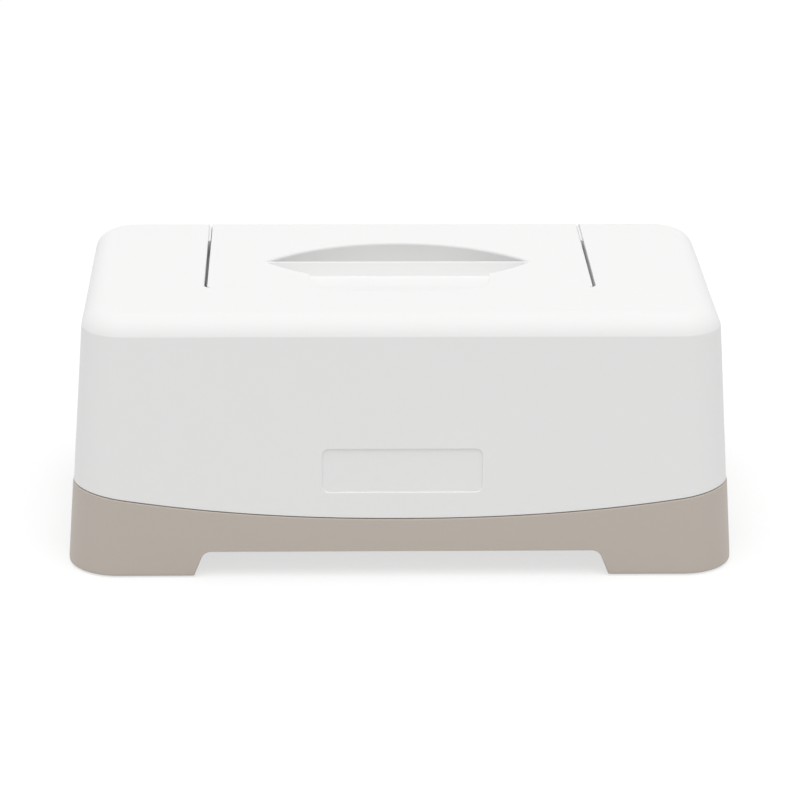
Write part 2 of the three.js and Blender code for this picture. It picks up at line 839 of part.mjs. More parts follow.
function makePressPlate() {
  const rim = plateOutline(0);
  rim.holes.push(plateOutline(-plateRimWidth));
  let plate = joined(
    upright(plateOutline(0), 0, plateThickness),
    upright(rim, plateThickness / 2, plateThickness + plateRimHeight),
    upright(
      dispenseOutline(dispenseLipWidth), plateThickness / 2, plateThickness + dispenseLipHeight, cornerSteps,
    ),
    gripTab(-1),
    gripTab(1),
  );
  for (const side of [-1, 1]) {
    plate = plate.add(toSolid(weightBlock(side, fitGap + pocketWall, 0, pocketHeight + pocketWall)));
    plate = plate.subtract(toSolid(weightBlock(side, fitGap, -cutOverrun, pocketHeight)));
  }
  plate = plate.subtract(toSolid(upright(dispenseOutline(0), -cutOverrun, boxHeight, cornerSteps)));
  return toGeometry(plate);
}

function makeWeightCover() {
  return toGeometry(toSolid(weightBlock(0, 0, 0, weightCoverThickness)));
}

function makeWeightBar() {
  return toGeometry(toSolid(weightBlock(0, 0, 0, weightThickness)));
}

// Finishes

const whitePlastic = { color: 0xf5f5f3, roughness: 0.38, metalness: 0 };
const taupePlastic = { color: 0xb4aca3, roughness: 0.45, metalness: 0 };
const palePlastic = { color: 0xe9e8e4, roughness: 0.5, metalness: 0 };
const clearSilicone = { color: 0xdfe0dc, roughness: 0.6, metalness: 0 };
const softRubber = { color: 0x8f8983, roughness: 0.85, metalness: 0 };
const brightSteel = { color: 0xb9bcbf, roughness: 0.3, metalness: 1 };

function piece(name, geometry, finish) {
  const mesh = new THREE.Mesh(geometry, new THREE.MeshStandardMaterial(finish));
  mesh.name = name;
  return mesh;
}

// Assembly

const box = new THREE.Group();
box.add(piece('base_tray', makeBaseTray(), taupePlastic));
for (const centre of footCentres) {
  const pad = piece(`foot_pad_${centre.name}`, makeFootPad(), softRubber);
  pad.position.set(centre.x, centre.y, 0);
  box.add(pad);
}

box.add(piece('cover_shell', makeCoverShell(), whitePlastic));

const lidGroup = new THREE.Group();
lidGroup.position.set(0, hingePlace, edgeCentreHeight);
lidGroup.add(piece('lid', makeLid(), whitePlastic));
lidGroup.add(piece('lid_seal', makeLidSeal(), clearSilicone));
for (const [side, name] of [[-1, 'left'], [1, 'right']]) {
  const pin = piece(`hinge_pin_${name}`, makeHingePin(), brightSteel);
  pin.position.set(side * (pinStart + pinLength / 2), 0, 0);
  lidGroup.add(pin);
}
box.add(lidGroup);

const plateGroup = new THREE.Group();
plateGroup.position.set(0, 0, plateSeatHeight);
plateGroup.add(piece('press_plate', makePressPlate(), palePlastic));
for (const [side, name] of [[-1, 'left'], [1, 'right']]) {
  const bar = piece(`weight_bar_${name}`, makeWeightBar(), brightSteel);
  bar.position.set(side * weightSpacing / 2, 0, weightCoverThickness + fitGap);
  const cover = piece(`weight_cover_${name}`, makeWeightCover(), palePlastic);
  cover.position.set(side * weightSpacing / 2, 0, 0);
  plateGroup.add(bar, cover);
}
box.add(plateGroup);

export default box;
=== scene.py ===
import math

import bmesh
import bpy
from mathutils import Matrix, Vector


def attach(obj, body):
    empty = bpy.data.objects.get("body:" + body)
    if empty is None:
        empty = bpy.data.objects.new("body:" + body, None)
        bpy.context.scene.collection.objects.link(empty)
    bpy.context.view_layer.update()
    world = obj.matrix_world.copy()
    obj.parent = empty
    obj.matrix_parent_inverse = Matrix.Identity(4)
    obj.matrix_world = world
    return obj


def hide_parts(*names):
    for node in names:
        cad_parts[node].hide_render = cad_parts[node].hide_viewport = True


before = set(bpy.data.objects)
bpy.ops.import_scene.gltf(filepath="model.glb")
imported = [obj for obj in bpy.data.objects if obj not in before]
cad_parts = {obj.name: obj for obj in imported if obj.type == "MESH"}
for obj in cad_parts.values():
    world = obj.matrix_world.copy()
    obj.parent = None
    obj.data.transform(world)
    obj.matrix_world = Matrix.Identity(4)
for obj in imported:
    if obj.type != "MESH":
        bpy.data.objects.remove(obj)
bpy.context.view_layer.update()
print("frame is in, new pieces are drawn in millimetres and shrunk to metres at the end")

# the whole box, shared by cover, base and lid
box = {
    "length": 251, "depth": 140, "height": 99.5, "bottom": 0.5, "widest": 2.5,
    "draft": math.radians(3.95), "lowRadius": 19.5, "highRadius": 16.5, "edgeRadius": 7.9,
    "seamCorner": 33.3, "seamFrontDip": 10.7, "seamEndDip": 3, "seamPower": 2.2, "seamStep": 0.3,
    "creaseAngle": math.radians(70), "creaseHeight": 92.65, "creaseFront": -40, "creaseRear": 25,
    "creaseShare": 0.012, "gap": 0.3, "leastRadius": 0.3,
    "cornerSteps": 20, "frontSteps": 44, "endSteps": 22, "edgeSteps": 14,
}
edgeCentre = box["height"] - box["edgeRadius"]
edgeInset = box["seamStep"] + box["edgeRadius"] / math.cos(box["draft"])
hingeY = box["depth"] / 2 - math.tan(box["draft"]) * (edgeCentre - box["widest"]) - edgeInset
over = 5  # how far a cutter stands out of what it cuts
hair = 0.02  # keeps faces that nearly meet out of one plane
farX, farY = 80, 90  # past the lid's sides and past the rear
near = 0.001  # points closer than this are one point
metres = 0.001  # one millimetre in metres
facing = 0.99  # a normal with more than this along an axis faces that way
smoothAngle = math.radians(30)  # edges that turn less than this are shaded smooth
rimSteps, turnSteps = 4, 8  # pieces in a quarter turn, for small rims and for larger roundings
pinSteps = 32  # sides of the pin holes


# selecting and editing

def calm():
    if bpy.context.object and bpy.context.object.mode != "OBJECT":
        bpy.ops.object.mode_set(mode="OBJECT")
    bpy.ops.object.select_all(action="DESELECT")


def edit(piece):
    calm()
    piece.select_set(True)
    bpy.context.view_layer.objects.active = piece
    bpy.ops.object.mode_set(mode="EDIT")


def pick(kind, wanted):
    bpy.ops.mesh.select_mode(type=kind)
    bpy.ops.mesh.select_all(action="DESELECT")
    mesh = bmesh.from_edit_mesh(bpy.context.object.data)
    parts = {"VERT": mesh.verts, "EDGE": mesh.edges, "FACE": mesh.faces}[kind]
    for part in [part for part in parts if wanted(part)]:
        part.select_set(True)
    bmesh.update_edit_mesh(bpy.context.object.data)


def outward():
    bpy.ops.mesh.select_mode(type="FACE")
    bpy.ops.mesh.select_all(action="SELECT")
    bpy.ops.mesh.normals_make_consistent(inside=False)


def pickLowest():
    mesh = bmesh.from_edit_mesh(bpy.context.object.data)
    lowest = min(face.calc_center_median().z for face in mesh.faces)

    def wanted(face):
        return face.calc_center_median().z - lowest < near and face.normal.z < -facing

    pick("FACE", wanted)


def named(name):
    piece = bpy.context.object
    piece.name = name
    piece.data.name = name
    return piece


# starting shapes

def roundedFace(name, fromX, toX, fromY, toY, level, radius, steps=10):
    calm()
    middle = ((fromX + toX) / 2, (fromY + toY) / 2, level)
    bpy.ops.mesh.primitive_plane_add(size=1, location=middle)
    piece = named(name)
    piece.scale = (toX - fromX, toY - fromY, 1)
    bpy.ops.object.transform_apply(location=True, scale=True)
    edit(piece)
    pick("VERT", lambda vertex: True)
    bpy.ops.mesh.bevel(offset=radius, segments=steps, affect="VERTICES", clamp_overlap=False)
    calm()
    return piece


def drawnFace(name, points):
    calm()
    bpy.ops.mesh.primitive_circle_add(vertices=len(points), radius=1, fill_type="NGON")
    piece = named(name)
    edit(piece)
    mesh = bmesh.from_edit_mesh(piece.data)
    mesh.verts.ensure_lookup_table()
    for vertex, point in zip(mesh.verts, points):
        vertex.co = point
    bmesh.update_edit_mesh(piece.data)
    calm()
    return piece


def barAlongX(name, radius, fromX, toX, y, z, steps=64):
    calm()
    bpy.ops.mesh.primitive_cylinder_add(
        vertices=steps, radius=radius, depth=toX - fromX,
        location=((fromX + toX) / 2, y, z), rotation=(0, math.pi / 2, 0),
    )
    piece = named(name)
    bpy.ops.object.transform_apply(location=True, rotation=True)
    return piece


def blockOf(name, fromX, toX, fromY, toY, fromZ, toZ):
    calm()
    middle = ((fromX + toX) / 2, (fromY + toY) / 2, (fromZ + toZ) / 2)
    bpy.ops.mesh.primitive_cube_add(size=1, location=middle)
    piece = named(name)
    piece.scale = (toX - fromX, toY - fromY, toZ - fromZ)
    bpy.ops.object.transform_apply(location=True, scale=True)
    return piece


# shaping

def extrude(piece, along):
    edit(piece)
    bpy.ops.mesh.select_all(action="SELECT")
    bpy.ops.mesh.extrude_region_move(TRANSFORM_OT_translate={"value": along})
    outward()
    calm()
    return piece


def sink(piece, path):
    # the face goes down along (outset, depth) pairs, and narrows or widens on the way
    extrude(piece, (0, 0, -path[0][1]))
    edit(piece)
    pickLowest()
    for (fromOut, fromDepth), (toOut, toDepth) in zip(path, path[1:]):
        deeper = toDepth - fromDepth
        if abs(fromOut - toOut) < near:
            bpy.ops.mesh.extrude_region_move(TRANSFORM_OT_translate={"value": (0, 0, -deeper)})
        else:
            bpy.ops.mesh.inset(
                thickness=abs(fromOut - toOut), depth=deeper, use_outset=toOut > fromOut,
            )
    outward()
    calm()
    return piece


def quarter(steps):
    # (sine, cosine) on a quarter turn
    angles = [math.pi / 2 * step / steps for step in range(steps + 1)]
    return [(math.sin(angle), math.cos(angle)) for angle in angles]


def flarePath(radius, depth, footRadius=0):
    # a rounded rim at the top, an upright wall and a rounded foot
    path = [(radius * (1 - s), over + radius * (1 - c)) for s, c in quarter(rimSteps)]
    if not footRadius:
        return path + [(0, over + depth)]
    return path + [
        (-footRadius * (1 - c), over + depth - footRadius * (1 - s)) for s, c in quarter(turnSteps)
    ]


def softened(corners):
    # corners of a profile as (y, z, radius); each one is turned with an arc of its radius
    path = []
    for index, (y, z, radius) in enumerate(corners):
        here = Vector((y, z))
        if not radius:
            path.append(here)
            continue
        before = (Vector(corners[index - 1][:2]) - here).normalized()
        after = (Vector(corners[(index + 1) % len(corners)][:2]) - here).normalized()
        half = before.angle(after) / 2
        middle = here + (before + after).normalized() * radius / math.sin(half)
        start = here + before * radius / math.tan(half) - middle
        end = here + after * radius / math.tan(half) - middle
        turn = start.angle_signed(end)
        for step in range(turnSteps + 1):
            path.append(middle + Matrix.Rotation(-turn * step / turnSteps, 2) @ start)
    return path


def combine(piece, other, how="DIFFERENCE"):
    calm()
    bpy.context.view_layer.objects.active = piece
    piece.select_set(True)
    change = piece.modifiers.new("join or cut", "BOOLEAN")
    change.operation, change.solver, change.object = how, "EXACT", other
    bpy.ops.object.modifier_apply(modifier=change.name)
    bpy.data.objects.remove(other)
    return piece


def roundEdges(piece, width, angle, steps):
    calm()
    bpy.context.view_layer.objects.active = piece
    piece.select_set(True)
    change = piece.modifiers.new("rounding", "BEVEL")
    change.width, change.segments = width, steps
    change.limit_method, change.angle_limit = "ANGLE", angle
    change.use_clamp_overlap = False
    bpy.ops.object.modifier_apply(modifier=change.name)
    return piece


# rings round the box, one point for each station

def cornerPlaces(halfX, halfY, radius):
    places = []
    corners = [(1, -1, -math.pi / 2), (1, 1, 0), (-1, 1, math.pi / 2), (-1, -1, math.pi)]
    counts = [box["endSteps"], box["frontSteps"], box["endSteps"], box["frontSteps"]]
    for index, (signX, signY, start) in enumerate(corners):
        for step in range(box["cornerSteps"] + 1):
            angle = start + math.pi / 2 * step / box["cornerSteps"]
            x = signX * (halfX - radius) + radius * math.cos(angle)
            y = signY * (halfY - radius) + radius * math.sin(angle)
            places.append(Vector((x, y)))
        nextX, nextY, nextStart = corners[(index + 1) % 4]
        there = Vector((
            nextX * (halfX - radius) + radius * math.cos(nextStart),
            nextY * (halfY - radius) + radius * math.sin(nextStart),
        ))
        here = places[-1]
        for step in range(1, counts[index]):
            places.append(here.lerp(there, step / counts[index]))
    return places


def formAt(level):
    inset = math.tan(box["draft"]) * (level - box["widest"])
    climb = (level - box["widest"]) / (box["height"] - box["widest"])
    radius = box["lowRadius"] + (box["highRadius"] - box["lowRadius"]) * climb
    return box["length"] / 2 - inset, box["depth"] / 2 - inset, radius


def seamHeights():
    halfX, halfY, radius = formAt(box["widest"])
    heights = []
    for place in cornerPlaces(halfX, halfY, radius):
        front = 1 - abs(place.x / halfX) ** box["seamPower"]
        end = 1 - abs(place.y / halfY) ** box["seamPower"]
        heights.append(box["seamCorner"] - box["seamFrontDip"] * front - box["seamEndDip"] * end)
    return heights


seam = seamHeights()


def ring(inset, level, form=None):
    # level is a height, or a pair: ("seam", height over the seam)
    known, points = {}, []
    for index, above in enumerate(seam):
        height = above + level[1] if isinstance(level, tuple) else level
        halfX, halfY, radius = formAt(height if form is None else form)
        key = round(halfX, 5)
        if key not in known:
            turn = max(radius - inset, box["leastRadius"])
            known[key] = cornerPlaces(halfX - inset, halfY - inset, turn)
        place = known[key][index]
        points.append(Vector((place.x, place.y, height)))
    return points


def edgeRings(wall):
    rings = []
    radius = box["edgeRadius"] - wall
    for step in range(box["edgeSteps"] + 1):
        angle = box["draft"] + (math.pi / 2 - box["draft"]) * step / box["edgeSteps"]
        height = edgeCentre + radius * math.sin(angle)
        rings.append(ring(edgeInset - radius * math.cos(angle), height, edgeCentre))
    return rings


def skinEdgeRings():
    # at the front the edge is a wider arc that meets the wall in a fine crease
    # at the rear it is the arc that the lid has too
    crease = box["creaseAngle"]
    radius = (box["height"] - box["creaseHeight"]) / (1 - math.cos(crease))
    creaseInset = box["seamStep"] + math.tan(box["draft"]) * (box["creaseHeight"] - edgeCentre)
    steps = box["edgeSteps"]
    shares = [0, box["creaseShare"]] + [step / steps for step in range(1, steps + 1)]
    rings = []
    for share in shares:
        wide = crease * (1 - share)
        front = ring(
            creaseInset + radius * (math.sin(crease) - math.sin(wide)),
            box["creaseHeight"] + radius * (math.cos(wide) - math.cos(crease)), edgeCentre,
        )
        tight = box["draft"] + (math.pi / 2 - box["draft"]) * share
        rear = ring(
            edgeInset - box["edgeRadius"] * math.cos(tight),
            edgeCentre + box["edgeRadius"] * math.sin(tight), edgeCentre,
        )
        points = []
        for here, there in zip(front, rear):
            way = (there.y - box["creaseFront"]) / (box["creaseRear"] - box["creaseFront"])
            way = min(max(way, 0), 1)
            points.append(here.lerp(there, way * way * (3 - 2 * way)))  # eases in and out
        rings.append(points)
    return rings


def loft(name, rings):
    # one face is pulled out ring after ring; each corner knows its station
    piece = drawnFace(name, rings[0])
    edit(piece)
    mesh = bmesh.from_edit_mesh(piece.data)
    station = mesh.verts.layers.int.new("station")
    mesh.verts.ensure_lookup_table()
    for index, vertex in enumerate(mesh.verts):
        vertex[station] = index
    bmesh.update_edit_mesh(piece.data)
    bpy.ops.mesh.select_mode(type="FACE")
    bpy.ops.mesh.select_all(action="SELECT")
    for points in rings[1:]:
        bpy.ops.mesh.extrude_region_move()
        mesh = bmesh.from_edit_mesh(piece.data)
        station = mesh.verts.layers.int["station"]
        for vertex in mesh.verts:
            if vertex.select:
                vertex.co = points[vertex[station]]
        bmesh.update_edit_mesh(piece.data)
    outward()
    calm()
    return piece


# materials

def nodeTree(name):
    material = bpy.data.materials.new(name)
    material.use_nodes = True
    tree = material.node_tree
    return material, tree, tree.nodes["Principled BSDF"]


# sizes count per metre, grain depth is in metres
surface = {
    "mottle": 0.012, "mottleSize": 9, "mottleDetail": 3, "glossSpread": 0.1,
    "grainSize": 1400, "grainDetail": 2, "grainDepth": 0.00005,
}


def mouldedPlastic(name, colour, roughness, grain):
    material, tree, shader = nodeTree(name)
    mottle, spreadShare = surface["mottle"], surface["glossSpread"]
    new, link = tree.nodes.new, tree.links.new
    place = new("ShaderNodeTexCoord")
    cloud = new("ShaderNodeTexNoise")
    cloud.inputs["Scale"].default_value = surface["mottleSize"]
    cloud.inputs["Detail"].default_value = surface["mottleDetail"]
    link(place.outputs["Object"], cloud.inputs["Vector"])
    tone = new("ShaderNodeMix")
    tone.data_type = "RGBA"
    tone.inputs["A"].default_value = [*(value * (1 - mottle) for value in colour), 1]
    tone.inputs["B"].default_value = [*(min(value * (1 + mottle), 1) for value in colour), 1]
    link(cloud.outputs["Fac"], tone.inputs["Factor"])
    link(tone.outputs["Result"], shader.inputs["Base Color"])
    fine = new("ShaderNodeTexNoise")
    fine.inputs["Scale"].default_value = surface["grainSize"]
    fine.inputs["Detail"].default_value = surface["grainDetail"]
    link(place.outputs["Object"], fine.inputs["Vector"])
    spread = new("ShaderNodeMapRange")
    spread.inputs["To Min"].default_value = roughness * (1 - spreadShare)
    spread.inputs["To Max"].default_value = roughness * (1 + spreadShare)
    link(cloud.outputs["Fac"], spread.inputs["Value"])
    link(spread.outputs["Result"], shader.inputs["Roughness"])
    bump = new("ShaderNodeBump")
    bump.inputs["Strength"].default_value = grain
    bump.inputs["Distance"].default_value = surface["grainDepth"]
    link(fine.outputs["Fac"], bump.inputs["Height"])
    link(bump.outputs["Normal"], shader.inputs["Normal"])
    return material


finish = {
    "white": {"colour": (0.823, 0.823, 0.818), "roughness": 0.5, "grain": 0.25},
    "taupe": {"colour": (0.5, 0.447, 0.396), "roughness": 0.46, "grain": 0.35},
    "pale": {"colour": (0.77, 0.76, 0.73), "roughness": 0.5, "grain": 0.3},
    "rubber": {"colour": (0.27, 0.25, 0.23), "roughness": 0.85, "grain": 0.8},
    "silicone": {"colour": (0.7, 0.71, 0.68), "roughness": 0.6, "grain": 0.2},
}
white = mouldedPlastic("white satin plastic", **finish["white"])
taupe = mouldedPlastic("taupe plastic", **finish["taupe"])
pale = mouldedPlastic("off-white plastic", **finish["pale"])
rubber = mouldedPlastic("soft rubber", **finish["rubber"])
silicone = mouldedPlastic("milky silicone", **finish["silicone"])


bar = {
    "lines": (60, 2500, 2500), "lineDetail": 3, "smoothest": 0.25, "roughest": 0.4,
    "dark": (0.48, 0.49, 0.5), "light": (0.6, 0.61, 0.62),
}


def drawnSteel():
    # fine lines run along the bars and pins
    material, tree, shader = nodeTree("drawn steel")
    new, link = tree.nodes.new, tree.links.new
    place = new("ShaderNodeTexCoord")
    stretch = new("ShaderNodeMapping")
    stretch.inputs["Scale"].default_value = bar["lines"]
    link(place.outputs["Object"], stretch.inputs["Vector"])
    lines = new("ShaderNodeTexNoise")
    lines.inputs["Scale"].default_value = 1
    lines.inputs["Detail"].default_value = bar["lineDetail"]
    link(stretch.outputs["Vector"], lines.inputs["Vector"])
    tone = new("ShaderNodeMix")
    tone.data_type = "RGBA"
    tone.inputs["A"].default_value = (*bar["dark"], 1)
    tone.inputs["B"].default_value = (*bar["light"], 1)
    link(lines.outputs["Fac"], tone.inputs["Factor"])
    link(tone.outputs["Result"], shader.inputs["Base Color"])
    spread = new("ShaderNodeMapRange")
    spread.inputs["To Min"].default_value = bar["smoothest"]
    spread.inputs["To Max"].default_value = bar["roughest"]
    link(lines.outputs["Fac"], spread.inputs["Value"])
    link(spread.outputs["Result"], shader.inputs["Roughness"])
    shader.inputs["Metallic"].default_value = 1
    return material


steel = drawnSteel()
print("materials are ready")


def finishPiece(piece, material, body, nodes):
    calm()
    bpy.context.view_layer.objects.active = piece
    piece.select_set(True)
    piece.scale = (metres, metres, metres)
    bpy.ops.object.transform_apply(location=True, rotation=True, scale=True)
    piece.data.materials.clear()
    piece.data.materials.append(material)
    bpy.ops.object.shade_smooth_by_angle(angle=smoothAngle)
    change = piece.modifiers.new("even shading", "WEIGHTED_NORMAL")
    change.keep_sharp = True
    bpy.ops.object.modifier_apply(modifier=change.name)
    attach(piece, body)
    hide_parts(*nodes)
    print(piece.name, "is done,", len(piece.data.polygons), "faces")


# cuts that more than one piece gets

grip = {
    "crest": 7, "crestWidth": 0.8, "halfLength": 51.1, "wall": 2.2,
    "hollowReach": 24.6, "hollowDepth": 15, "hollowFoot": 2.5, "hollowRim": 1.1, "crestRim": 0.3,
    "dishReach": 37, "dishDepth": 5.1, "flank": math.radians(62), "flankTop": 0.5,
    "flankFoot": 0.6, "floorWidth": 11.5, "floorFront": 8, "dishFront": 6,
    "pocketHalf": 34, "pocketBow": 4.6, "pocketCorner": 8, "pocketSpread": 0.5,
    "dishRim": 0.15, "rimLeft": 0.01, "rimBelow": 1.1, "dishSlope": 0.1, "dishFoot": 0.4,
    "dishFlat": 2, "sideSteps": 24, "frontSteps": 48, "arcSteps": 36,
}
lensRadius = (grip["halfLength"] ** 2 + grip["hollowReach"] ** 2) / (2 * grip["hollowReach"])
crestFront = grip["crest"] - grip["crestWidth"] / 2
crestRear = grip["crest"] + grip["crestWidth"] / 2


def lensReach(x, grow):
    return math.sqrt((lensRadius + grow) ** 2 - x ** 2) - lensRadius + grip["hollowReach"]


def pocketFront(x, grow):
    half, radius = grip["pocketHalf"] + grow, grip["pocketCorner"] + grow
    turn = max(abs(x) - half + radius, 0)
    bow = grip["pocketBow"] * (x / half) ** 2
    front = grip["crest"] - grip["dishReach"] - grow + bow
    return front + radius - math.sqrt(radius ** 2 - turn ** 2)


def dishOutline(grow, level):
    # the front of the lens shape, then the pocket, whose sides spread a little towards the rear
    half, tip, steps = grip["pocketHalf"] + grow, grip["halfLength"], grip["sideSteps"]
    side = []
    for step in range(steps + 1):
        x = tip + (half + grip["pocketSpread"] - tip) * step / steps
        side.append((x, crestFront - lensReach(x, grow)))
    for _, c in quarter(grip["frontSteps"]):
        side.append((half * c, pocketFront(half * c, grow)))
    right = [(tip, max(crestFront, side[0][1] + over)), *side]
    left = [(-x, y) for x, y in reversed(right[:-1])]
    return [Vector((x, y, level)) for x, y in right + left]


def dishBody(wall):
    # seen from above it is the outline
    # seen from the side it is the slope, the floor and the rising front
    top, sharp = box["height"], wall > 0
    rim = 0 if sharp else grip["dishRim"]
    rings = [dishOutline(wall + rim, top + over)]
    for s, c in [] if sharp else quarter(rimSteps):
        rings.append(dishOutline(rim * (1 + grip["rimLeft"] - s), top - rim * (1 - c)))
    narrow, low = wall - grip["dishSlope"], -wall - grip["dishDepth"] - hair
    for grow, drop in softened([
        (wall, -wall - rim * grip["rimBelow"], 0), (narrow, low, 0 if sharp else grip["dishFoot"]),
        (narrow - grip["dishFlat"], low - hair, 0),
    ]):
        rings.append(dishOutline(grow, top + drop))
    shape = loft("dish in plan", rings)
    deep, flank = top - wall - grip["dishDepth"], grip["flank"]
    edge = crestFront - (0 if sharp else grip["flankTop"] * math.tan(flank / 2) - hair)
    foot = crestFront - grip["dishDepth"] / math.tan(flank) + wall * math.tan(flank / 2)
    rimFront = grip["crest"] - grip["dishReach"]
    corners = [
        (crestFront + over, top + over * 2, 0), (crestFront + over, top - wall, 0),
        (edge, top - wall, grip["flankTop"]), (foot, deep, grip["flankFoot"]),
        (foot - grip["floorWidth"], deep, grip["floorFront"]),
        (rimFront, top - wall, grip["dishFront"]),
        (rimFront - over, top - wall, 0), (rimFront - over, top + over * 2, 0),
    ]
    if sharp:
        corners = [(y, z, 0) for y, z, _ in corners]
    run = drawnFace("dish from the side", [Vector((-farX, y, z)) for y, z in softened(corners)])
    extrude(run, (2 * farX, 0, 0))
    return combine(shape, run, "INTERSECT")


def hollowRing(arcGrow, crestGrow, level):
    # an arc behind the straight crest
    middle = crestRear + grip["hollowReach"] - lensRadius
    radius = lensRadius + arcGrow
    reach = math.acos((lensRadius - grip["hollowReach"] - crestGrow) / radius)
    points = []
    for step in range(2 * grip["arcSteps"] + 1):
        angle = math.pi / 2 + reach * (step / grip["arcSteps"] - 1)
        points.append(Vector((radius * math.cos(angle), middle + radius * math.sin(angle), level)))
    return points


def hollowPath():
    # the arc gets a wide rounding at the top and the crest a narrow one, over the same depth
    rim, crest, foot = grip["hollowRim"], grip["crestRim"], grip["hollowFoot"]
    path = [(rim, crest, 0)]
    path += [
        (rim * (1 - s), crest * (1 - s), over + rim * (1 - c)) for s, c in quarter(turnSteps)
    ]
    floor = over + grip["hollowDepth"]
    path += [
        (-foot * (1 - c), -foot * (1 - c), floor - foot * (1 - s)) for s, c in quarter(turnSteps)
    ]
    return path


def hollowBody(path):
    level = box["height"] + over
    rings = [hollowRing(arc, crest, level - depth) for arc, crest, depth in path]
    return loft("finger hollow", rings)


# cover shell

cover = {
    "wall": 2.5, "lip": 1.2, "tongueHeight": 4, "edgeRounding": 0.3,
    "wellHalf": 74.1, "wellFront": -25.32, "wellCorner": 3.2, "wellDepth": 7.5, "wellWall": 2.2,
    "wellRim": 0.3, "wellSteps": 10, "ledge": 7.5, "ledgeThickness": 2.2, "rearDrop": 3,
    "troughRadius": 8.25, "troughHalf": 73.2, "troughSteps": 96, "earReach": 18, "earDrop": 1,
    "bossRadius": 4.2, "bossRoot": 1, "bossTip": 81.4,
    "pinHole": 1.8, "pinHoleFrom": 70, "pinHoleTo": 79.2,
    "roomInset": 1.4, "roomWall": 1.2, "roomFrom": 20,
    "badgeLength": 60.1, "badgeHeight": 17.3, "badgeCentre": 41.4, "badgeCorner": 2.7,
    "badgeSteps": 8, "badgeDepth": 0.6, "badgeRim": 0.25, "badgeFoot": 0.2,
}


def coverSkin():
    step, gap, turn = box["seamStep"], box["gap"], cover["edgeRounding"]
    inner, lip, rebate = step + cover["wall"], step + cover["lip"], cover["tongueHeight"] + gap
    rings = list(reversed(edgeRings(cover["wall"])))
    rings += [ring(inner, ("seam", rebate)), ring(lip, ("seam", rebate)), ring(lip, ("seam", gap))]
    rings += [
        ring(step + turn * (1 - s), ("seam", gap + turn * (1 - c))) for s, c in quarter(rimSteps)
    ]
    return loft("cover_shell_finished", rings + skinEdgeRings())


def openingRing(sideGrow, level):
    # the long front edge stays sharp and close to the lid, the two sides get a rounded rim
    half, radius = cover["wellHalf"] + sideGrow, cover["wellCorner"]
    points = [Vector((-half, farY, level)), Vector((half, farY, level))]
    for side, start in ((1, 0), (-1, -math.pi / 2)):
        for step in range(cover["wellSteps"] + 1):
            angle = start - math.pi / 2 * step / cover["wellSteps"]
            points.append(Vector((
                side * (half - radius) + radius * math.cos(angle),
                cover["wellFront"] + radius + radius * math.sin(angle), level,
            )))
    return points


def lidOpening():
    rings = [openingRing(cover["wellRim"], box["height"] + over)]
    for grow, depth in flarePath(cover["wellRim"], cover["wellDepth"]):
        rings.append(openingRing(grow, box["height"] + over - depth))
    return loft("lid opening", rings)


def placeBadge(badge):
    # the cutter of the plate leans with the front wall
    badge.rotation_euler = (math.pi / 2 - box["draft"], 0, 0)
    badge.location = (0, box["seamStep"] - formAt(cover["badgeCentre"])[1], cover["badgeCentre"])
    calm()
    badge.select_set(True)
    bpy.context.view_layer.objects.active = badge
    bpy.ops.object.transform_apply(location=True, rotation=True)


def lidWell(under):
    # the walls and the ledge that the lid lies in, with the bosses of its pins
    half = cover["wellHalf"] + cover["wellWall"]
    level = box["height"] - cover["wall"] / 2
    well = roundedFace(
        "well", -half, half, cover["wellFront"] - cover["wellWall"], hingeY, level,
        cover["wellCorner"] + cover["wellWall"],
    )
    extrude(well, (0, 0, under - level))
    trough = cover["troughRadius"] + cover["wellWall"]
    combine(well, barAlongX("trough wall", trough, -half, half, hingeY, edgeCentre), "UNION")
    for side in (-1, 1):
        ends = sorted((side * (half - cover["bossRoot"]), side * cover["bossTip"]))
        boss = barAlongX("pin boss", cover["bossRadius"], *ends, hingeY, edgeCentre)
        combine(well, boss, "UNION")
    room = [ring(cover["roomInset"], cover["roomFrom"]), *edgeRings(cover["roomWall"])]
    return combine(well, loft("room inside", room), "INTERSECT")


def hingeEars(under):
    # they fill the two slots beside the hinge, a little below the top
    half = cover["wellHalf"] + cover["wellWall"] / 2
    top, trough = box["height"], cover["troughHalf"]
    ears = blockOf("ears", -half, half, hingeY - cover["earReach"], farY, under, top + over)
    combine(ears, blockOf(
        "between the ears", -trough, trough, 0, farY + over, under - over, top + 2 * over,
    ))
    room = [ring(box["seamStep"] + cover["earDrop"], under), *edgeRings(cover["earDrop"])]
    return combine(ears, loft("room for the ears", room), "INTERSECT")


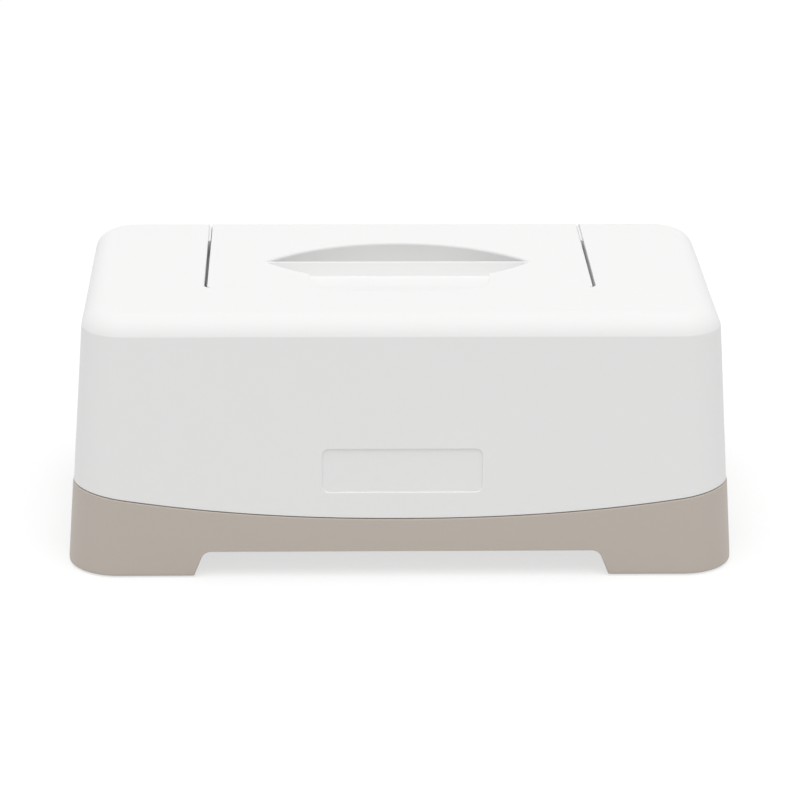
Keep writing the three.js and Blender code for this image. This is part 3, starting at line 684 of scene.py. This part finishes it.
def makeCover():
    top, trough, ledge = box["height"], cover["troughHalf"], cover["ledge"]
    under = top - cover["wellDepth"] - cover["ledgeThickness"]
    shell = coverSkin()
    combine(shell, lidWell(under), "UNION")
    combine(shell, lidOpening())
    combine(shell, blockOf(
        "rear edge", -trough, trough, hingeY + box["edgeRadius"] / 2, farY,
        edgeCentre - cover["rearDrop"], top + over,
    ))
    combine(shell, barAlongX(
        "trough", cover["troughRadius"], -trough, trough, hingeY, edgeCentre, cover["troughSteps"],
    ))
    combine(shell, hingeEars(under), "UNION")
    window = roundedFace(
        "window", ledge - cover["wellHalf"], cover["wellHalf"] - ledge, cover["wellFront"] + ledge,
        hingeY - cover["troughRadius"] - ledge, top, cover["wellCorner"],
    )
    combine(shell, extrude(window, (0, 0, under - top - 2 * over)))
    for side in (-1, 1):
        ends = sorted((side * cover["pinHoleFrom"], side * cover["pinHoleTo"]))
        hole = barAlongX("pin hole", cover["pinHole"], *ends, hingeY, edgeCentre, pinSteps)
        combine(shell, hole)
    combine(shell, dishBody(0))
    long, high = cover["badgeLength"] / 2, cover["badgeHeight"] / 2
    badge = roundedFace(
        "badge", -long, long, -high, high, over, cover["badgeCorner"], cover["badgeSteps"],
    )
    sink(badge, flarePath(cover["badgeRim"], cover["badgeDepth"], cover["badgeFoot"]))
    placeBadge(badge)
    combine(shell, badge)
    finishPiece(shell, white, "cover", ["cover_shell"])


makeCover()


# lid

lid = {
    "half": 72.9, "front": -25.3, "wall": 2.8, "corner": 2, "cornerSteps": 8, "ribSteps": 6,
    "railRounding": 0.3, "railSteps": 4, "barrelWall": 2.4, "barrelSteps": 28,
    "wrap": math.radians(35), "cheek": 3.5, "cheekBack": 0.35, "cheekInset": 0.6,
    "flange": 1.8, "flangeDrop": 3.2, "rib": 1.5, "ribDrop": 2.2, "seal": 2.5,
    "pinHole": 1.8, "pinHoleFrom": 67, "pinHoleTo": 80,
}
lidRear = hingeY - cover["troughRadius"] - box["gap"]  # where the flat underside of the lid ends


def underLid(name, inset, radius, steps=10):
    return roundedFace(
        name, inset - lid["half"], lid["half"] - inset, lid["front"] + inset, lidRear - inset,
        box["height"] - lid["wall"] / 2, radius, steps,
    )


def frameOf(name, inset, radius, width, drop):
    piece = underLid(name, inset, radius, lid["ribSteps"])
    edit(piece)
    bpy.ops.mesh.select_all(action="SELECT")
    bpy.ops.mesh.inset(thickness=width, depth=0)
    bpy.ops.mesh.delete(type="FACE")
    calm()
    return extrude(piece, (0, 0, -drop - lid["wall"] / 2))


def lidPlate():
    top, half, low = box["height"], lid["half"], box["height"] - lid["wall"]
    piece = blockOf("lid_finished", -half, half, lid["front"], hingeY, low, top)
    edit(piece)

    def upright(edge):
        first, last = (vertex.co for vertex in edge.verts)
        return max(first.y, last.y) < lid["front"] + hair and abs(first.x - last.x) < hair

    pick("EDGE", upright)
    bpy.ops.mesh.bevel(offset=lid["corner"], segments=lid["cornerSteps"], affect="EDGES")
    # the lower rear edge comes up to the wall of the barrel, and the face is spun round the hinge

    def lowerRear(vertex):
        return vertex.co.y > hingeY - hair and vertex.co.z < low + hair

    pick("EDGE", lambda edge: all(lowerRear(vertex) for vertex in edge.verts))
    bpy.ops.transform.translate(value=(0, 0, lid["wall"] - lid["barrelWall"]))
    pick("FACE", lambda face: face.normal.y > facing)
    bpy.ops.mesh.spin(
        steps=lid["barrelSteps"], angle=math.pi / 2 + lid["wrap"],
        center=(0, hingeY, edgeCentre), axis=(1, 0, 0),
    )
    bpy.ops.mesh.select_all(action="SELECT")
    bpy.ops.mesh.remove_doubles(threshold=near)
    outward()

    def outside(vertex):
        reach = math.hypot(vertex.co.y - hingeY, vertex.co.z - edgeCentre)
        flat = vertex.co.y <= hingeY + near and vertex.co.z > top - near
        rounded = vertex.co.y > hingeY and reach > box["edgeRadius"] - hair
        return (flat or rounded) and abs(vertex.co.x) > half - hair

    pick("EDGE", lambda edge: all(outside(vertex) for vertex in edge.verts))
    bpy.ops.mesh.bevel(
        offset=lid["railRounding"], segments=lid["railSteps"], affect="EDGES", clamp_overlap=False,
    )
    calm()
    return piece


def gripWalls(inset):
    # the walls round the grip, kept inside the ribs of the seal
    outer = grip["wall"]
    walls = hollowBody([(outer, outer, 0), (outer, outer, over + grip["hollowDepth"] + outer)])
    combine(walls, dishBody(outer), "UNION")
    inside = underLid("inside the ribs", inset, lid["corner"])
    depth = grip["hollowDepth"] + 2 * outer
    return combine(walls, extrude(inside, (0, 0, -depth)), "INTERSECT")


def makeLid():
    piece, half = lidPlate(), lid["half"]
    for side in (-1, 1):
        ends = sorted((side * (half - lid["cheek"]), side * (half - lid["cheekBack"])))
        radius = box["edgeRadius"] - lid["cheekInset"]
        combine(piece, barAlongX("cheek", radius, *ends, hingeY, edgeCentre), "UNION")
    flangeEnd = lid["flange"] + box["gap"]
    ribStart = flangeEnd + lid["seal"] + box["gap"]
    flange = frameOf("flange", hair, lid["corner"] + flangeEnd, lid["flange"], lid["flangeDrop"])
    combine(piece, flange, "UNION")
    rib = frameOf("seal rib", ribStart, lid["corner"] + lid["rib"], lid["rib"], lid["ribDrop"])
    combine(piece, rib, "UNION")
    combine(piece, gripWalls(ribStart + lid["rib"] / 2), "UNION")
    combine(piece, dishBody(0))
    combine(piece, hollowBody(hollowPath()))
    for side in (-1, 1):
        ends = sorted((side * lid["pinHoleFrom"], side * lid["pinHoleTo"]))
        hole = barAlongX("pin hole", lid["pinHole"], *ends, hingeY, edgeCentre, pinSteps)
        combine(piece, hole)
    finishPiece(piece, white, "lid", ["lid"])


makeLid()


# base tray

base = {
    "wall": 3, "floorUnder": 10, "floorTop": 12.5, "fillet": 3, "filletSteps": 6, "lip": 1.2,
    "tongueHeight": 4, "tongueChamfer": 0.3, "bottomRadius": 0.8, "topRounding": 0.4,
    "footLength": 47.7, "footDepth": 28, "footSlope": math.radians(22), "footFillet": 4,
    "footWall": 2.4, "footRounding": 0.8, "edgeRounding": 0.45, "edgeStart": 0.05,
    "ribHeight": 1.2, "ribWidth": 1.6, "ribLength": 200, "ribPitch": 22, "ribCount": 5,
    "ribRoot": 1, "padX": 102, "padY": 56, "padRadius": 8, "padPocket": 2, "padSteps": 48,
    "holderWall": 1.7, "holderLift": 0.2, "webReach": 35, "webHalf": 0.8, "webLow": 3,
}


def baseSkin():
    low, top, turn = base["bottomRadius"], base["topRounding"], base["fillet"]
    rings = [
        ring(low * (1 - c), box["bottom"] + low * (1 - s), box["widest"])
        for s, c in reversed(quarter(turnSteps))
    ]
    rings.append(ring(0, box["widest"]))
    rings += [ring(top * (1 - c), ("seam", top * (s - 1))) for s, c in quarter(rimSteps)]
    tongue, height = box["seamStep"] + base["lip"] + box["gap"], base["tongueHeight"]
    chamfer = base["tongueChamfer"]
    rings += [
        ring(tongue, ("seam", 0)), ring(tongue, ("seam", height - chamfer)),
        ring(tongue + chamfer, ("seam", height)), ring(base["wall"], ("seam", height)),
    ]
    rings += [
        ring(base["wall"] + turn * (1 - s), base["floorTop"] + turn * (1 - c))
        for s, c in reversed(quarter(base["filletSteps"]))
    ]
    return loft("base_tray_finished", rings)


def footOutline(gapLength, roof, grow):
    # (along, height) points of the gap under the box, seen from outside
    low, top, slope = box["bottom"] - hair, roof + grow, math.tan(base["footSlope"])
    half = gapLength / 2 + grow / math.cos(base["footSlope"])
    right = [
        (half + over, low - over, 0), (half + over, low, 0), (half, low, base["footRounding"]),
        (half - (top - low) * slope, top, base["footFillet"] + grow),
    ]
    left = [(-x, z, radius) for x, z, radius in reversed(right)]
    return softened(right + left)


def sideAt(level, index):
    # how far the skin stands out at a height, with its rounded bottom edge
    level = max(level, box["bottom"])
    if level >= box["widest"]:
        return formAt(level)[index]
    radius = base["bottomRadius"]
    drop = max(box["bottom"] + radius - level, 0)
    return formAt(box["widest"])[index] - radius + math.sqrt(radius ** 2 - drop ** 2)


def footGap(gapLength, index, grow, rounding):
    # runs through the box along one axis, and widens just before it comes out of the skin
    path, start = [], 1 - base["edgeStart"]
    if rounding:
        path = [(rounding * (start - c), rounding * (1 - s)) for s, c in quarter(rimSteps)]
    outside = (box["depth"] if index else box["length"]) / 2 + over
    roof = base["floorUnder"] - (0 if index else hair)  # the two gaps never share a plane
    end = (None, rounding)
    rings = []
    for side, steps in ((-1, [end, *path]), (1, [*reversed(path), end])):
        for inset, flare in steps:
            points = []
            for along, height in footOutline(gapLength, roof, grow + flare):
                reach = side * (outside if inset is None else sideAt(height, index) - inset)
                points.append(Vector((along, reach, height) if index else (reach, along, height)))
            rings.append(points)
    return loft("foot gap", rings)


def cutFootGaps(piece, grow, rounding=0):
    combine(piece, footGap(box["length"] - 2 * base["footLength"], 1, grow, rounding))
    combine(piece, footGap(box["depth"] - 2 * base["footDepth"], 0, grow, rounding))


def padPost(x, y, radius, fromZ, toZ):
    calm()
    bpy.ops.mesh.primitive_cylinder_add(
        vertices=base["padSteps"], radius=radius, depth=toZ - fromZ,
        location=(x, y, (fromZ + toZ) / 2),
    )
    piece = named("pad post")
    bpy.ops.object.transform_apply(location=True)
    return piece


def hollowUnder(places, pocket):
    # the room under the floor, less the feet's walls, the holders of the pads and their webs
    wall, roof = base["footWall"], base["floorUnder"]
    room = loft("foot hollow", [ring(wall, -over), ring(wall, roof)])
    cutFootGaps(room, wall)
    low = box["bottom"] + base["holderLift"]
    reach, half = base["webReach"], base["webHalf"]
    for x, y in places:
        combine(room, padPost(x, y, pocket + base["holderWall"], low, roof + over))
        for halfX, halfY in ((reach, half), (half, reach)):
            combine(room, blockOf(
                "web", x - halfX, x + halfX, y - halfY, y + halfY, base["webLow"], roof + over,
            ))
    return room


def makeBase():
    tray = baseSkin()
    cutFootGaps(tray, 0, base["edgeRounding"])
    padX, padY = base["padX"], base["padY"]
    places = [(-padX, -padY), (-padX, padY), (padX, -padY), (padX, padY)]
    pocket = base["padRadius"] + box["gap"]
    combine(tray, hollowUnder(places, pocket))
    for x, y in places:
        combine(tray, padPost(x, y, pocket, -over, base["padPocket"]))
    half, width = base["ribLength"] / 2, base["ribWidth"] / 2
    low, high = base["floorTop"] - base["ribRoot"], base["floorTop"] + base["ribHeight"]
    for index in range(base["ribCount"]):
        middle = (index - (base["ribCount"] - 1) / 2) * base["ribPitch"]
        rib = blockOf("floor rib", -half, half, middle - width, middle + width, low, high)
        combine(tray, rib, "UNION")
    finishPiece(tray, taupe, "base", ["base_tray"])


makeBase()


# small pieces keep the form of their solids and get rounded edges

# weld is in metres, as the solids are, and the widths of the edges in millimetres
small = {
    "weld": 0.000005, "flat": math.radians(1), "sharp": math.radians(40), "steps": 3,
    "pad": 0.2, "seal": 0.4, "plate": 0.25, "pin": 0.2, "bar": 0.3, "cover": 0.3,
}


def refined(node, material, body, width):
    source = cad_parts[node]
    piece = source.copy()
    piece.data = source.data.copy()
    piece.name = piece.data.name = node + "_finished"
    piece.parent = None
    piece.matrix_world = Matrix.Identity(4)
    bpy.context.collection.objects.link(piece)
    edit(piece)
    bpy.ops.mesh.select_mode(type="VERT")
    bpy.ops.mesh.select_all(action="SELECT")
    bpy.ops.mesh.remove_doubles(threshold=small["weld"])
    bpy.ops.mesh.dissolve_limited(angle_limit=small["flat"])
    outward()
    calm()
    piece.scale = (1 / metres, 1 / metres, 1 / metres)
    bpy.context.view_layer.objects.active = piece
    piece.select_set(True)
    bpy.ops.object.transform_apply(scale=True)
    roundEdges(piece, width, small["sharp"], small["steps"])
    finishPiece(piece, material, body, [node])


for end in ("front", "rear"):
    for side in ("left", "right"):
        refined("foot_pad_" + end + "_" + side, rubber, "base", small["pad"])
refined("lid_seal", silicone, "lid", small["seal"])
refined("press_plate", pale, "plate", small["plate"])
for side in ("left", "right"):
    refined("hinge_pin_" + side, steel, "lid", small["pin"])
    refined("weight_bar_" + side, steel, "plate", small["bar"])
    refined("weight_cover_" + side, pale, "plate", small["cover"])


# stage, light and camera

stage = {
    "floorSize": 14, "bounce": (0.77, 0.77, 0.77), "shade": 0.34, "glow": 0.66, "sky": 0.563,
    "sun": 1.785, "sunAngle": math.radians(60), "sunTilt": math.radians(13), "sunHeight": 2,
}


def seenDirectly(tree):
    # 1 for what the camera, a mirror or a clear piece looks at, 0 for light on its way
    rays = tree.nodes.new("ShaderNodeLightPath")
    last = rays.outputs["Is Camera Ray"]
    for name in ("Is Glossy Ray", "Is Transmission Ray"):
        either = tree.nodes.new("ShaderNodeMath")
        either.operation = "MAXIMUM"
        tree.links.new(last, either.inputs[0])
        tree.links.new(rays.outputs[name], either.inputs[1])
        last = either.outputs[0]
    return last


def makeStage():
    calm()
    bpy.ops.mesh.primitive_plane_add(size=stage["floorSize"], location=(0, 0, 0))
    floor = named("floor")
    material, tree, shader = nodeTree("floor")
    new, link = tree.nodes.new, tree.links.new
    shader.inputs["Base Color"].default_value = (*stage["bounce"], 1)
    shader.inputs["Roughness"].default_value = 1
    shader.inputs["Specular IOR Level"].default_value = 0
    matte, glow = new("ShaderNodeBsdfDiffuse"), new("ShaderNodeEmission")
    both, mix = new("ShaderNodeAddShader"), new("ShaderNodeMixShader")
    matte.inputs["Color"].default_value = (stage["shade"], stage["shade"], stage["shade"], 1)
    glow.inputs["Strength"].default_value = stage["glow"]
    link(matte.outputs["BSDF"], both.inputs[0])
    link(glow.outputs["Emission"], both.inputs[1])
    link(seenDirectly(tree), mix.inputs["Fac"])
    link(shader.outputs["BSDF"], mix.inputs[1])
    link(both.outputs["Shader"], mix.inputs[2])
    link(mix.outputs["Shader"], tree.nodes["Material Output"].inputs["Surface"])
    floor.data.materials.append(material)


def makeLight():
    world = bpy.data.worlds.new("studio")
    bpy.context.scene.world = world
    world.use_nodes = True
    tree = world.node_tree
    tree.nodes.clear()
    new, link = tree.nodes.new, tree.links.new
    soft, plain = new("ShaderNodeBackground"), new("ShaderNodeBackground")
    soft.inputs["Strength"].default_value = stage["sky"]
    plain.inputs["Strength"].default_value = 1
    soft.inputs["Color"].default_value = plain.inputs["Color"].default_value = (1, 1, 1, 1)
    mix, out = new("ShaderNodeMixShader"), new("ShaderNodeOutputWorld")
    link(seenDirectly(tree), mix.inputs["Fac"])
    link(soft.outputs["Background"], mix.inputs[1])
    link(plain.outputs["Background"], mix.inputs[2])
    link(mix.outputs["Shader"], out.inputs["Surface"])
    calm()
    bpy.ops.object.light_add(
        type="SUN", location=(0, 0, stage["sunHeight"]), rotation=(stage["sunTilt"], 0, 0),
    )
    sun = bpy.context.object
    sun.data.energy = stage["sun"]
    sun.data.angle = stage["sunAngle"]
    sun.visible_glossy = False


camera = {
    "lens": 148.699, "sensor": 36, "distance": 1.29026, "target": (0.00097, 0, 0.04508),
    "elevation": math.radians(19.95), "yaw": math.radians(1.75), "roll": math.radians(0.45),
    "nearest": 0.05, "farthest": 60,
}


def makeCamera():
    down, yaw, roll = camera["elevation"], camera["yaw"], camera["roll"]
    flat = math.cos(down)
    ahead = Vector((math.sin(yaw) * flat, math.cos(yaw) * flat, -math.sin(down)))
    level = Vector((math.cos(yaw), -math.sin(yaw), 0))
    above = level.cross(ahead)
    right = math.cos(roll) * level + math.sin(roll) * above
    up = math.cos(roll) * above - math.sin(roll) * level
    turn = Matrix((right, up, -ahead)).transposed().to_4x4()
    place = Vector(camera["target"]) - camera["distance"] * ahead
    calm()
    bpy.ops.object.camera_add()
    eye = bpy.context.object
    eye.matrix_world = Matrix.Translation(place) @ turn
    eye.data.lens = camera["lens"]
    eye.data.sensor_width = camera["sensor"]
    eye.data.clip_start, eye.data.clip_end = camera["nearest"], camera["farthest"]
    bpy.context.scene.camera = eye


makeStage()
makeLight()
makeCamera()
bpy.context.scene.view_settings.view_transform = "Standard"
print("stage, light and camera stand")
